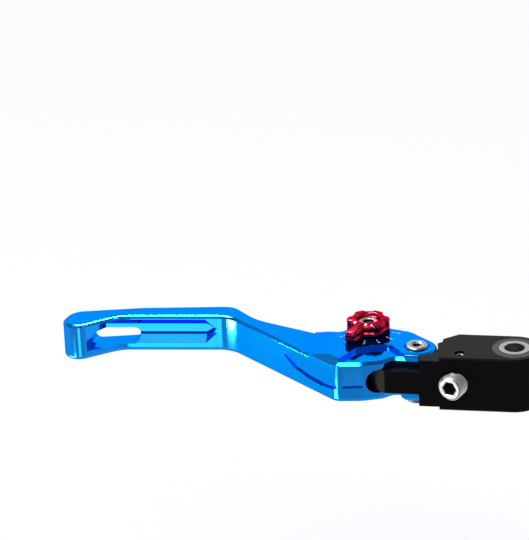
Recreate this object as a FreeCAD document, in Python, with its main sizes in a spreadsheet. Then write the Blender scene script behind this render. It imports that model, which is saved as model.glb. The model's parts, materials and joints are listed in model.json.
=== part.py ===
import FreeCAD, Part
import math
import os
import sys
import Sketcher
from FreeCAD import Placement, Rotation, Vector

# Adjustable hand lever for a handlebar master cylinder or clutch perch.
# Origin: centre of the main pivot bore, at the lever's mid-plane. +Z runs up along
# the pivot, the fingertip end points to -X, and the handlebar grip lies towards +Y.

os.makedirs("parts", exist_ok=True)
doc = FreeCAD.newDocument("adjustable_lever")

# ---------------------------------------------------------------- driving sizes, mm

SIZES = [
    ("main pivot: bore for the bolt, steel sleeve, bronze bush and lip seals", [
        ("bolt_bore_radius", 4.0),
        ("sleeve_outer_radius", 6.0),
        ("sleeve_overhang", 0.15),
        ("bush_outer_radius", 7.5),
        ("seal_outer_radius", 8.6),
        ("seal_thickness", 1.6),
        ("seal_lip_gap", 0.15),
        ("running_gap", 0.04),
        ("face_gap", 0.05),
    ]),
    ("adapter block and the tongue that enters the blade", [
        ("block_height", 22.4),
        ("block_hub_radius", 11.0),
        ("block_length", 35.8),
        ("block_step_length", 7.8),
        ("block_step_depth", 1.5),
        ("block_edge_chamfer", 0.6),
        ("tail_clearance", 0.6),
        ("tongue_height", 9.4),
        ("tongue_reach", 17.2),
        ("tongue_eye_radius", 6.0),
        ("reach_spring_offset", 7.4),
        ("reach_spring_radius", 1.2),
        ("reach_spring_wire", 0.22),
        ("reach_spring_length", 8.4),
        ("reach_spring_stand_out", 0.35),
        ("hook_below_contact", 3.2),
        ("hook_above_contact", 1.9),
        ("slot_side_gap", 0.2),
        ("slot_end_gap", 1.2),
    ]),
    ("blade pivot: where the blade hinges on the tongue", [
        ("blade_pivot_x", -37.8),
        ("blade_pivot_y", 1.4),
        ("blade_pin_radius", 3.0),
        ("tongue_bush_wall", 1.2),
        ("washer_radius", 5.0),
        ("washer_recess", 0.4),
        ("screw_head_radius", 4.25),
        ("screw_head_height", 1.7),
        ("screw_seat_radius", 5.0),
        ("screw_seat_depth", 0.8),
        ("screw_socket_radius", 1.7),
        ("pivot_nut_radius", 4.0),
        ("pivot_nut_height", 2.5),
        ("pin_in_nut", 1.6),
    ]),
    ("blade: finger section, neck and body", [
        ("finger_length", 68.0),
        ("blade_rise", 7.2),
        ("blade_drop", 8.3),
        ("deck_rise", 2.6),
        ("ear_drop", 2.0),
        ("neck_length", 76.2),
        ("tail_radius", 7.8),
        ("selector_boss_radius", 8.7),
        ("upper_edge_radius", 1.2),
        ("lower_edge_radius", 1.8),
        ("ledge_depth", 1.5),
        ("ledge_chamfer", 1.1),
        ("facet_width", 2.7),
        ("groove_depth", 3.8),
        ("groove_floor_width", 3.4),
        ("groove_floor_lift", 0.5),
        ("groove_mouth", 10.6),
        ("groove_mouth_drop", 4.6),
        ("panel_depth", 1.1),
        ("panel_top", 5.2),
        ("panel_drop", 4.6),
        ("slot_window_height", 5.4),
        ("slot_window_length", 18.7),
        ("slot_window_drop", 2.25),
    ]),
    ("reach selector: knob, shaft with its eccentric, bushes and detent", [
        ("selector_dx", -20.4),
        ("selector_dy", 13.2),
        ("cam_radius", 4.5),
        ("cam_offset", 1.575),
        ("cam_bore_clearance", 0.175),
        ("cam_contact_gap", 0.07),
        ("journal_radius", 3.5),
        ("upper_bush_wall", 1.0),
        ("oring_wire", 0.42),
        ("oring_depth", 0.55),
        ("lower_journal_radius", 4.0),
        ("lower_bush_height", 1.2),
        ("circlip_thickness", 0.6),
        ("circlip_groove_depth", 0.35),
        ("circlip_opening", 2.4),
        ("knob_gap", 0.4),
        ("knob_thickness", 5.0),
        ("knob_radius", 7.0),
        ("knob_hole_radius", 4.4),
        ("knob_floor", 1.4),
        ("knob_edge_chamfer", 0.5),
        ("knob_lobe_radius", 2.0),
        ("knob_lobe_reach", 8.7),
        ("pointer_reach", 14.3),
        ("pointer_width", 4.2),
        ("knob_drive_radius", 3.0),
        ("detent_circle_radius", 5.7),
        ("detent_ball_radius", 0.9),
        ("detent_pocket_depth", 3.6),
        ("detent_stand_out", 0.85),
        ("detent_spring_radius", 0.65),
        ("detent_spring_wire", 0.16),
        ("selector_screw_radius", 1.5),
        ("selector_screw_length", 5.6),
        ("selector_head_height", 2.0),
        ("selector_socket_radius", 2.3),
    ]),
    ("push-rod adjuster: set screw, push pad and lock screw", [
        ("adjuster_x", -22.3),
        ("adjuster_lean", 21.0),
        ("adjuster_radius", 5.0),
        ("adjuster_stick_out", 4.3),
        ("adjuster_length", 17.0),
        ("adjuster_thread_pitch", 1.0),
        ("adjuster_thread_depth", 0.55),
        ("adjuster_socket_radius", 2.89),
        ("adjuster_socket_depth", 5.0),
        ("push_pad_length", 12.4),
        ("push_pad_face_radius", 3.5),
        ("lock_screw_inset", 5.0),
        ("lock_screw_radius", 2.0),
        ("lock_screw_length", 5.2),
        ("lock_socket_radius", 1.15),
    ]),
]

sheet = doc.addObject("Spreadsheet::Sheet", "Sizes")
row = 1
for heading, entries in SIZES:
    sheet.set(f"A{row}", heading)
    for alias, value in entries:
        row += 1
        sheet.set(f"A{row}", alias.replace("_", " "))
        sheet.set(f"B{row}", str(value))
        sheet.setAlias(f"B{row}", alias)
    row += 2
doc.recompute()


def size(alias):
    return float(sheet.get(alias))


def bind(thing, prop, expression):
    """Tie a property to the sheet; every name in the expression that is an alias is looked up there."""
    words = expression.replace("(", " ( ").replace(")", " ) ").split()
    aliases = {alias for _, entries in SIZES for alias, _ in entries}
    text = " ".join("Sizes." + word if word in aliases else word for word in words)
    thing.setExpression(prop, text)


# ---------------------------------------------------------------- places worked out from the sizes

PIVOT = Vector(size("blade_pivot_x"), size("blade_pivot_y"), 0)
SELECTOR = PIVOT + Vector(size("selector_dx"), size("selector_dy"), 0)
HALF_BLOCK = size("block_height") / 2
RISE = size("blade_rise")
DROP = size("blade_drop")
HALF_TONGUE = size("tongue_height") / 2
HALF_SLOT = HALF_TONGUE + size("slot_side_gap")
DECK = RISE + size("deck_rise")
EAR_BOTTOM = DROP + size("ear_drop")
HUB = size("block_hub_radius")
TONGUE_END = PIVOT.x - size("tongue_reach")
SLOT_END = TONGUE_END - size("slot_end_gap")
KNOB_BOTTOM = DECK + size("knob_gap")
BEND = PIVOT.x - size("neck_length")
TIP = BEND - size("finger_length")
# Lengthwise places of the deck's ramp and of the step under the lower ear.
RAMP_FOOT = PIVOT.x - 41.7
RAMP_TOP = PIVOT.x - 32.7
EAR_STEP = PIVOT.x - 3.2

# The eccentric bears on the hook of the tongue along this direction, seen in plan.
CONTACT_ANGLE = 30.0
CAM_REST_ANGLE = 81.75
POINTER_ANGLE = 242.0
DETENT_ANGLE = 90.0
STEP_ANGLE = 27.0
STEPS = 6


def polar(centre, radius, angle):
    """The point at this radius and angle (degrees) from a centre, in plan."""
    turn = math.radians(angle)
    return Vector(centre.x + radius * math.cos(turn), centre.y + radius * math.sin(turn), 0)


# ---------------------------------------------------------------- sketch and body helpers


def plane_of(body, role):
    return [feature for feature in body.Origin.OriginFeatures if feature.Role == role][0]


def new_body(label):
    body = doc.addObject("PartDesign::Body", label)
    body.Label = label
    return body


def new_sketch(body, name, role="XY_Plane", height=None):
    """A sketch on one of the body's own planes, lifted along its normal by a bound height."""
    sketch = body.newObject("Sketcher::SketchObject", name)
    sketch.AttachmentSupport = [(plane_of(body, role), "")]
    sketch.MapMode = "FlatFace"
    if height:
        bind(sketch, "AttachmentOffset.Base.z", height)
    return sketch


def rounded_edges(corners):
    """Lines and tangent arcs through corners (x, y, radius). A radius shrinks where a run is too short."""
    points = [Vector(x, y, 0) for x, y, _ in corners]
    count = len(points)
    runs = [points[(i + 1) % count] - points[i] for i in range(count)]
    halves = [(-runs[i - 1]).getAngle(runs[i]) / 2 for i in range(count)]
    wanted = [corners[i][2] / math.tan(halves[i]) for i in range(count)]
    starts = []
    ends = []
    edges = []
    for i in range(count):
        shares = [runs[i - 1].Length / max(wanted[i - 1] + wanted[i], 1e-9),
                  runs[i].Length / max(wanted[i] + wanted[(i + 1) % count], 1e-9)]
        reach = wanted[i] * min(1.0, 0.999 * shares[0], 0.999 * shares[1])
        here = points[i]
        if reach < 1e-6:
            starts.append(here)
            ends.append(here)
            continue
        back = (-runs[i - 1]).normalize()
        ahead = Vector(runs[i]).normalize()
        actual = reach * math.tan(halves[i])
        middle = here + (back + ahead).normalize() * (actual / math.sin(halves[i]) - actual)
        starts.append(here + back * reach)
        ends.append(here + ahead * reach)
        edges.append((i, Part.Arc(starts[-1], middle, ends[-1])))
    for i in range(count):
        following = (i + 1) % count
        if (starts[following] - ends[i]).Length > 1e-6:
            edges.append((i + 0.5, Part.LineSegment(ends[i], starts[following])))
    return [edge for _, edge in sorted(edges, key=lambda pair: pair[0])]


def draw_outline(sketch, corners):
    for edge in rounded_edges(corners):
        sketch.addGeometry(edge, False)


def draw_circle(sketch, x, y, radius):
    """A circle whose radius stays bound to the sheet."""
    index = sketch.addGeometry(Part.Circle(Vector(x, y, 0), Vector(0, 0, 1), 1.0), False)
    constraint = sketch.addConstraint(Sketcher.Constraint("Radius", index, 1.0))
    bind(sketch, f"Constraints[{constraint}]", radius)


def pad(body, name, sketch, length, symmetric=False, downward=False):
    feature = body.newObject("PartDesign::Pad", name)
    feature.Profile = sketch
    feature.SideType = "Symmetric" if symmetric else "One side"
    feature.Reversed = downward
    bind(feature, "Length", length)
    body.Tip = feature
    return feature


def pocket(body, name, sketch, length, symmetric=False, upward=False):
    """Cut a sketch away; it must remove material, or the build stops."""
    doc.recompute()
    before = body.Tip.Shape.Volume
    feature = body.newObject("PartDesign::Pocket", name)
    feature.Profile = sketch
    feature.SideType = "Symmetric" if symmetric else "One side"
    feature.Reversed = upward
    bind(feature, "Length", length)
    body.Tip = feature
    doc.recompute()
    if feature.Shape.isNull() or feature.Shape.Volume > before - 1e-3:
        sys.exit(f"{name} cuts nothing")
    return feature


def dress(body, kind, name, amount, wanted):
    """Round or chamfer the edges of the body's tip that the wanted test picks."""
    doc.recompute()
    tip = body.Tip
    names = [f"Edge{i + 1}" for i, edge in enumerate(tip.Shape.Edges) if wanted(edge)]
    feature = body.newObject("PartDesign::" + kind, name)
    feature.Base = (tip, names)
    bind(feature, "Radius" if kind == "Fillet" else "Size", amount)
    body.Tip = feature
    doc.recompute()
    if feature.Shape.isNull() or "Invalid" in feature.State:
        sys.exit(f"{name} could not be made on {len(names)} edges")
    return feature


def stand(piece, x=None, y=None, z=None):
    """Bind where a piece stands, along each axis that is given."""
    for axis, expression in (("x", x), ("y", y), ("z", z)):
        if expression:
            bind(piece, "Placement.Base." + axis, expression)
    return piece


def cylinder(name, radius, height, x=None, y=None, z=None):
    piece = doc.addObject("Part::Cylinder", name)
    bind(piece, "Radius", radius)
    bind(piece, "Height", height)
    return stand(piece, x, y, z)


def hex_prism(name, corner_radius, height, z):
    piece = doc.addObject("Part::Prism", name)
    piece.Polygon = 6
    bind(piece, "Circumradius", corner_radius)
    bind(piece, "Height", height)
    return stand(piece, z=z)


def aligned(piece, base, turn):
    """Stand a piece on a point with its own Z turned to another direction."""
    piece.Placement = Placement(base, turn)
    return piece


def fused(name, pieces):
    if len(pieces) == 1:
        return pieces[0]
    union = doc.addObject("Part::MultiFuse", name)
    union.Shapes = pieces
    return union


def as_piece(name, form):
    """A ready piece, or a cylinder given as (radius, height, base z)."""
    return cylinder(name, form[0], form[1], z=form[2]) if isinstance(form, tuple) else form


def turned(label, solids, cuts=(), x=None, y=None):
    """A turned piece: the solids added up, less the cuts, stood at x, y."""
    stock = fused(label + "_stock", [as_piece(f"{label}_step_{i}", form) for i, form in enumerate(solids)])
    tools = [as_piece(f"{label}_cut_{i}", form) for i, form in enumerate(cuts)]
    result = stock
    if tools:
        result = doc.addObject("Part::Cut", label)
        result.Base = stock
        result.Tool = fused(label + "_tools", tools)
    result.Label = label
    return stand(result, x, y)


def coil(label, radius, wire, height, turns, place):
    """A coil spring along Z from its place, as a round wire swept along a helix."""
    path = Part.makeHelix(height / turns, height, radius)
    ring = Part.Wire([Part.makeCircle(wire, Vector(radius, 0, 0), Vector(0, 1, 0))])
    sweep = Part.Wire(path.Edges).makePipeShell([ring], True, True)
    piece = doc.addObject("Part::Feature", label)
    piece.Shape = sweep
    piece.Label = label
    piece.Placement = place
    return piece


PIVOT_X = "blade_pivot_x"
PIVOT_Y = "blade_pivot_y"
SELECTOR_X = "blade_pivot_x + selector_dx"
SELECTOR_Y = "blade_pivot_y + selector_dy"
HEAD_SEAT = "blade_rise + deck_rise - screw_seat_depth"
NUT_TOP = "0 - blade_drop - ear_drop"
UNDER_KNOB = "blade_rise + deck_rise + knob_gap"
HEAD_BASE = UNDER_KNOB + " + knob_floor + face_gap"
SLOT_TOP = "tongue_height / 2 + slot_side_gap"
BUSH_LENGTH = "blade_rise + deck_rise - tongue_height / 2 - slot_side_gap - oring_depth * 2"
LOWER_BUSH_BASE = "0 - tongue_height / 2 - slot_side_gap - lower_bush_height"
CAM_BORE = "cam_radius + cam_offset + cam_bore_clearance"
CIRCLIP_BASE = LOWER_BUSH_BASE + " - circlip_thickness - face_gap"
nodes = []

# ---------------------------------------------------------------- main pivot

nodes.append(turned(
    "pivot_sleeve",
    [("sleeve_outer_radius", "block_height + 2 * sleeve_overhang", "0 - block_height / 2 - sleeve_overhang")],
    [("bolt_bore_radius", "block_height + 4", "0 - block_height / 2 - 2")],
))
nodes.append(turned(
    "pivot_bush",
    [("bush_outer_radius", "block_height - 2 * seal_thickness", "seal_thickness - block_height / 2")],
    [("sleeve_outer_radius + running_gap", "block_height", "0 - block_height / 2")],
))


def make_seals():
    """Two lip seals, one in each end of the adapter's bore."""
    rings = []
    for side, base in (("top", "block_height / 2 - seal_thickness"), ("bottom", "0 - block_height / 2")):
        ring = doc.addObject("Part::Cut", "seal_" + side)
        ring.Base = cylinder("seal_" + side + "_disc", "seal_outer_radius", "seal_thickness", z=base)
        ring.Tool = cylinder("seal_" + side + "_bore", "sleeve_outer_radius + seal_lip_gap",
                             "seal_thickness + 2", z=base + " - 1")
        rings.append(ring)
    pair = doc.addObject("Part::Compound", "pivot_seals")
    pair.Links = rings
    pair.Label = "pivot_seals"
    return pair


nodes.append(make_seals())

# ---------------------------------------------------------------- adapter block with its tongue

LEAN = math.radians(size("adjuster_lean"))
INWARD = Vector(math.sin(LEAN), math.cos(LEAN), 0)
ADJUSTER_BASE = Vector(size("adjuster_x"), -HUB, 0)
ADJUSTER_TURN = Rotation(Vector(0, 0, 1), INWARD)
LOCK_FOOT = ADJUSTER_BASE + INWARD * size("lock_screw_inset")
SPRING_MOUTH = Vector(TONGUE_END, PIVOT.y - size("reach_spring_offset"), 0)
ALONG_TONGUE = Rotation(Vector(0, 0, 1), Vector(1, 0, 0))


def hook_face():
    """The two ends of the tongue's hook face, square to the contact direction."""
    lean = math.radians(CONTACT_ANGLE)
    outward = Vector(math.cos(lean), math.sin(lean), 0)
    along = Vector(-math.sin(lean), math.cos(lean), 0)
    lobe = size("cam_offset") * math.cos(math.radians(CAM_REST_ANGLE - CONTACT_ANGLE))
    foot = SELECTOR + outward * (size("cam_radius") + lobe + size("cam_contact_gap"))
    return foot - along * size("hook_below_contact"), foot + along * size("hook_above_contact")


def tongue_corners():
    inner, tip = hook_face()
    left = TONGUE_END
    front = -HUB
    return [
        (PIVOT.x + 5, front, 0),
        (left + 6.0, front, 0.8),
        (left, front + 2.4, 0.6),
        (left, PIVOT.y + 3.6, 2.0),
        (left + 2.2, PIVOT.y + 7.2, 2.0),
        (inner.x, inner.y, 0.6),
        (tip.x, tip.y, 0.5),
        (tip.x + 2.4, tip.y + 0.6, 0.8),
        (tip.x + 8.6, tip.y - 5.0, 3.0),
        (PIVOT.x - 2.5, PIVOT.y + size("tongue_eye_radius"), 2.0),
        (PIVOT.x + size("tongue_eye_radius"), PIVOT.y + size("tongue_eye_radius"), 5.9),
        (PIVOT.x + size("tongue_eye_radius"), PIVOT.y - 4, 0),
    ]


def make_adapter():
    body = new_body("adapter_form")
    clear = size("tail_radius") + size("tail_clearance")
    left = -size("block_length")
    shoulder = polar(PIVOT, clear, -12)
    corner = PIVOT.y - math.sqrt(clear ** 2 - (left - PIVOT.x) ** 2)
    far_shoulder = polar(PIVOT, clear, 24)
    outline = new_sketch(body, "block_outline")
    edges = [
        Part.LineSegment(Vector(left, -HUB, 0), Vector(0, -HUB, 0)),
        Part.Arc(Vector(0, -HUB, 0), Vector(HUB, 0, 0), Vector(0, HUB, 0)),
        Part.LineSegment(Vector(0, HUB, 0), Vector(-22.5, HUB, 0)),
        Part.LineSegment(Vector(-22.5, HUB, 0), far_shoulder),
        Part.Arc(far_shoulder, shoulder, Vector(left, corner, 0)),
        Part.LineSegment(Vector(left, corner, 0), Vector(left, -HUB, 0)),
    ]
    for edge in edges:
        outline.addGeometry(edge, False)
    pad(body, "block", outline, "block_height", symmetric=True)
    step_x = left + size("block_step_length")
    for side, level, away in (("top", HALF_BLOCK - size("block_step_depth"), 1),
                              ("bottom", -HALF_BLOCK + size("block_step_depth"), -1)):
        sketch = new_sketch(body, "step_" + side, "XZ_Plane")
        draw_outline(sketch, [(left - 5, level, 0), (step_x, level, 0),
                              (step_x, level + away * 20, 0), (left - 5, level + away * 20, 0)])
        pocket(body, "block_step_" + side, sketch, "block_height * 4", symmetric=True)
    chamfered_height = HALF_BLOCK - 0.01
    dress(body, "Chamfer", "block_edges", "block_edge_chamfer",
          lambda edge: min(abs(v.Z) for v in edge.Vertexes) > chamfered_height
          and edge.BoundBox.XMax - edge.BoundBox.XMin > 3)
    tongue = new_sketch(body, "tongue_outline")
    draw_outline(tongue, tongue_corners())
    pad(body, "tongue", tongue, "tongue_height", symmetric=True)
    nose = new_sketch(body, "tongue_nose", "XZ_Plane")
    nose_x = TONGUE_END + HALF_TONGUE
    arc = Part.Arc(Vector(nose_x, HALF_TONGUE, 0), Vector(TONGUE_END, 0, 0), Vector(nose_x, -HALF_TONGUE, 0))
    nose.addGeometry(arc, False)
    ring = [Vector(nose_x, -HALF_TONGUE, 0), Vector(nose_x, -30, 0), Vector(TONGUE_END - 9, -30, 0),
            Vector(TONGUE_END - 9, 30, 0), Vector(nose_x, 30, 0), Vector(nose_x, HALF_TONGUE, 0)]
    for start, end in zip(ring, ring[1:]):
        nose.addGeometry(Part.LineSegment(start, end), False)
    pocket(body, "tongue_rounding", nose, "block_height * 4", symmetric=True)
    bore = new_sketch(body, "main_bore")
    draw_circle(bore, 0, 0, "bush_outer_radius")
    pocket(body, "bush_bore", bore, "block_height * 2", symmetric=True)
    for side, height, up in (("top", "block_height / 2 - seal_thickness", True),
                             ("bottom", "seal_thickness - block_height / 2", False)):
        seat = new_sketch(body, "seal_seat_" + side, height=height)
        draw_circle(seat, 0, 0, "seal_outer_radius")
        pocket(body, "seal_recess_" + side, seat, "seal_thickness * 4", upward=up)
    eye = new_sketch(body, "eye_bore")
    draw_circle(eye, PIVOT.x, PIVOT.y, "blade_pin_radius + running_gap + tongue_bush_wall")
    pocket(body, "eye", eye, "tongue_height * 2", symmetric=True)
    for side, height, up in (("top", "tongue_height / 2 - washer_recess", True),
                             ("bottom", "washer_recess - tongue_height / 2", False)):
        seat = new_sketch(body, "washer_seat_" + side, height=height)
        draw_circle(seat, PIVOT.x, PIVOT.y, "washer_radius + face_gap")
        pocket(body, "washer_recess_" + side, seat, "washer_recess * 4", upward=up)
    tunnel = cylinder("adjuster_tunnel", "adjuster_radius + running_gap", "block_height * 3")
    aligned(tunnel, ADJUSTER_BASE - INWARD * 20, ADJUSTER_TURN)
    lock_hole = cylinder("lock_hole", "lock_screw_radius + running_gap", "block_height")
    aligned(lock_hole, LOCK_FOOT, Rotation())
    spring_hole = cylinder("spring_hole", "reach_spring_radius + reach_spring_wire + running_gap * 3",
                           "reach_spring_length + reach_spring_wire")
    aligned(spring_hole, SPRING_MOUTH, ALONG_TONGUE)
    result = doc.addObject("Part::Cut", "adapter")
    result.Base = body
    result.Tool = fused("adapter_holes", [tunnel, lock_hole, spring_hole])
    result.Label = "adapter"
    return result


nodes.append(make_adapter())

# ---------------------------------------------------------------- blade


def from_pivot(points):
    """Corners given from the blade pivot, as (x, y, radius)."""
    return [(PIVOT.x + x, PIVOT.y + y, radius) for x, y, radius in points]


FRONT_OF_TIP = (TIP + 22.5, PIVOT.y + 23.4)
FRONT_OF_BEND = (BEND - 1.8, PIVOT.y + 26.8)
FRONT_OF_BODY = (PIVOT.x - 30.2, PIVOT.y - 15.2)
FRONT_OF_LEDGE = (PIVOT.x - 19.7, PIVOT.y - 14.1)


def boss_corners():
    """The rounded boss about the selector, between its tangents at 35, 90 and 165 degrees."""
    radius = size("selector_boss_radius")
    corners = []
    for first, last in ((35, 90), (90, 165)):
        reach = radius / math.cos(math.radians(last - first) / 2)
        corner = polar(SELECTOR, reach, (first + last) / 2)
        corners.append((corner.x, corner.y, radius))
    return corners


def blade_corners():
    tail = size("tail_radius")
    finger_front = [
        (TIP - 1.4, PIVOT.y + 12.8, 5.5),
        (TIP + 8.5, PIVOT.y + 13.2, 5.0),
        (*FRONT_OF_TIP, 14.0),
        (*FRONT_OF_BEND, 12.0),
        (*FRONT_OF_BODY, 6.0),
        (*FRONT_OF_LEDGE, 12.0),
    ]
    tail_and_back = from_pivot([
        (-11.7, -11.2, 4.0),
        (-8.2, -tail, 3.0),
        (tail, -tail, tail),
        (tail, 0.41 * tail, tail),
        (-3.7, 13.6, 8.0),
        (-11.65, 15.9, 2.5),
    ]) + boss_corners() + from_pivot([
        (-30.3, 10.0, 3.5),
    ])
    finger_back = [
        (BEND + 9.5, PIVOT.y + 25.2, 25.0),
        (BEND - 1.6, PIVOT.y + 36.9, 8.0),
        (TIP + 30.0, PIVOT.y + 32.8, 60.0),
        (TIP + 2.2, PIVOT.y + 26.8, 7.5),
    ]
    return finger_front + tail_and_back + finger_back


def side_cut(body, name, corners):
    """Cut away an outline seen from the front, right through the piece."""
    sketch = new_sketch(body, name + "_profile", "XZ_Plane")
    draw_outline(sketch, corners)
    pocket(body, name, sketch, "finger_length * 4", symmetric=True)


def front_tool(name, edges, depth="finger_length * 4"):
    """A cutter through the whole piece, from an outline seen from the front."""
    sketch = doc.addObject("Sketcher::SketchObject", name + "_profile")
    sketch.Placement = Placement(Vector(), Rotation(Vector(1, 0, 0), 90))
    for edge in edges:
        sketch.addGeometry(edge, False)
    tool = doc.addObject("Part::Extrusion", name)
    tool.Base = sketch
    tool.DirMode = "Custom"
    tool.Dir = Vector(0, 1, 0)
    tool.Symmetric = True
    tool.Solid = True
    bind(tool, "LengthFwd", depth)
    return tool


def outline_body(label, height, length, downward=False):
    """The blade's whole plan outline as a slab, its outer rim rounded."""
    body = new_body(label)
    sketch = new_sketch(body, label + "_outline", height=height)
    draw_outline(sketch, blade_corners())
    pad(body, label + "_slab", sketch, length, downward=downward)
    return body


def at_height(level):
    """Picks the edges that lie flat at one height."""
    def wanted(edge):
        box = edge.BoundBox
        return abs(box.ZMin - level) < 0.01 and abs(box.ZMax - level) < 0.01
    return wanted


def loft(name, rings):
    """A solid between flat rings of points."""
    wires = [Part.makePolygon(ring + ring[:1]) for ring in rings]
    piece = doc.addObject("Part::Feature", name)
    piece.Shape = Part.makeLoft(wires, True, True)
    return piece


def common(name, base, tool):
    shared = doc.addObject("Part::Common", name)
    shared.Base = base
    shared.Tool = tool
    return shared


def groove_tool():
    """The finger groove: a flat floor with sloping walls and ends, held between two heights."""
    along = Vector(FRONT_OF_BEND[0] - FRONT_OF_TIP[0], FRONT_OF_BEND[1] - FRONT_OF_TIP[1], 0).normalize()
    inward = Vector(-along.y, along.x, 0)
    start = Vector(*FRONT_OF_TIP, 0) - along * 6.5
    length = BEND - 8.5 - (TIP + 16.0)
    floor = size("groove_depth")
    outside = 8.0
    flare = 0.92 * (floor + outside)
    half_floor = size("groove_floor_width") / 2
    middle = size("groove_floor_lift")

    def ring(depth, widen, nose, shoulder):
        low = middle - half_floor - widen
        high = middle + half_floor + widen
        flat = [(-widen, low), (length - shoulder, low), (length + nose, middle),
                (length - shoulder, high), (-widen, high)]
        return [start + along * u + inward * depth + Vector(0, 0, z) for u, z in flat]

    frustum = loft("groove_frustum", [ring(floor, 0, 0, 2.8), ring(-outside, flare, 8.0, 3.6)])
    band = doc.addObject("Part::Box", "groove_band")
    bind(band, "Length", "finger_length * 3")
    bind(band, "Width", "finger_length * 4")
    bind(band, "Height", "groove_mouth")
    bind(band, "Placement.Base.z", "0 - groove_mouth_drop")
    band.Placement.Base.x = TIP - size("finger_length")
    band.Placement.Base.y = -2 * size("finger_length")
    return common("groove_tool", frustum, band)


def panel_tool():
    """A shallow panel on the front of the body: deepest along its lower edge, fading out upwards."""
    deep = size("panel_depth")
    top = size("panel_top")
    low = -size("panel_drop")
    wedges = []
    for name, start, end in (("panel_neck", FRONT_OF_BEND, FRONT_OF_BODY),
                             ("panel_front", FRONT_OF_BODY, FRONT_OF_LEDGE)):
        first = Vector(*start, 0)
        along = Vector(*end, 0) - first
        reach = along.Length
        along.normalize()
        inward = Vector(-along.y, along.x, 0)
        section = [inward * -4 + Vector(0, 0, top), Vector(0, 0, top),
                   inward * deep + Vector(0, 0, low), inward * -4 + Vector(0, 0, low)]
        rings = [[first + along * u + p for p in section] for u in (reach * 0.3, reach + 0.4)]
        wedges.append(loft(name, rings))
    region = [(-52.7, 1.8), (-48.5, -1.5), (-42.2, -3.2), (-36.2, -3.8), (-28.2, -2.3), (-14.0, -1.7),
              (-14.0, 6.0), (-48.0, 6.0)]
    front = front_tool("panel_region", rounded_edges([(PIVOT.x + x, z, 0.3) for x, z in region]))
    return common("panel_tool", fused("panel_wedges", wedges), front)


def facet_tool():
    """A sloping facet along the front of the deck, from the ramp to the ledge."""
    first = Vector(*FRONT_OF_BEND, 0)
    along = (Vector(*FRONT_OF_BODY, 0) - first).normalize()
    inward = Vector(-along.y, along.x, 0)
    width = size("facet_width")
    flat = [(-3, RISE), (0, RISE), (width, DECK), (width, DECK + 5), (-3, DECK + 5)]
    section = [inward * v + Vector(0, 0, z) for v, z in flat]
    ends = [(x - first.x) / along.x for x in (RAMP_FOOT - 5, RAMP_TOP + 3.5)]
    return loft("deck_facet", [[first + along * u + p for p in section] for u in ends])


def slot_window():
    """The window near the fingertip: a round-ended slot seen from the front."""
    half = size("slot_window_height") / 2
    middle = -size("slot_window_drop")
    left = TIP + 11.0
    right = left + size("slot_window_length")
    ends = [(left, middle - half, half), (right, middle - half, half), (right, middle + half, half),
            (left, middle + half, half)]
    return front_tool("fingertip_window", rounded_edges(ends))


def tongue_slot():
    """The slot that the tongue enters: a full-radius end, open towards the main pivot."""
    centre = SLOT_END + HALF_SLOT
    edges = [Part.Arc(Vector(centre, HALF_SLOT, 0), Vector(SLOT_END, 0, 0), Vector(centre, -HALF_SLOT, 0))]
    ring = [Vector(centre, -HALF_SLOT, 0), Vector(20, -HALF_SLOT, 0), Vector(20, HALF_SLOT, 0),
            Vector(centre, HALF_SLOT, 0)]
    edges += [Part.LineSegment(start, end) for start, end in zip(ring, ring[1:])]
    return front_tool("tongue_slot", edges)


def selector_hole(name, radius, height, z):
    return cylinder(name, radius, height, x=SELECTOR_X, y=SELECTOR_Y, z=z)


def pivot_hole(name, radius, height, z):
    return cylinder(name, radius, height, x=PIVOT_X, y=PIVOT_Y, z=z)


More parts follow.
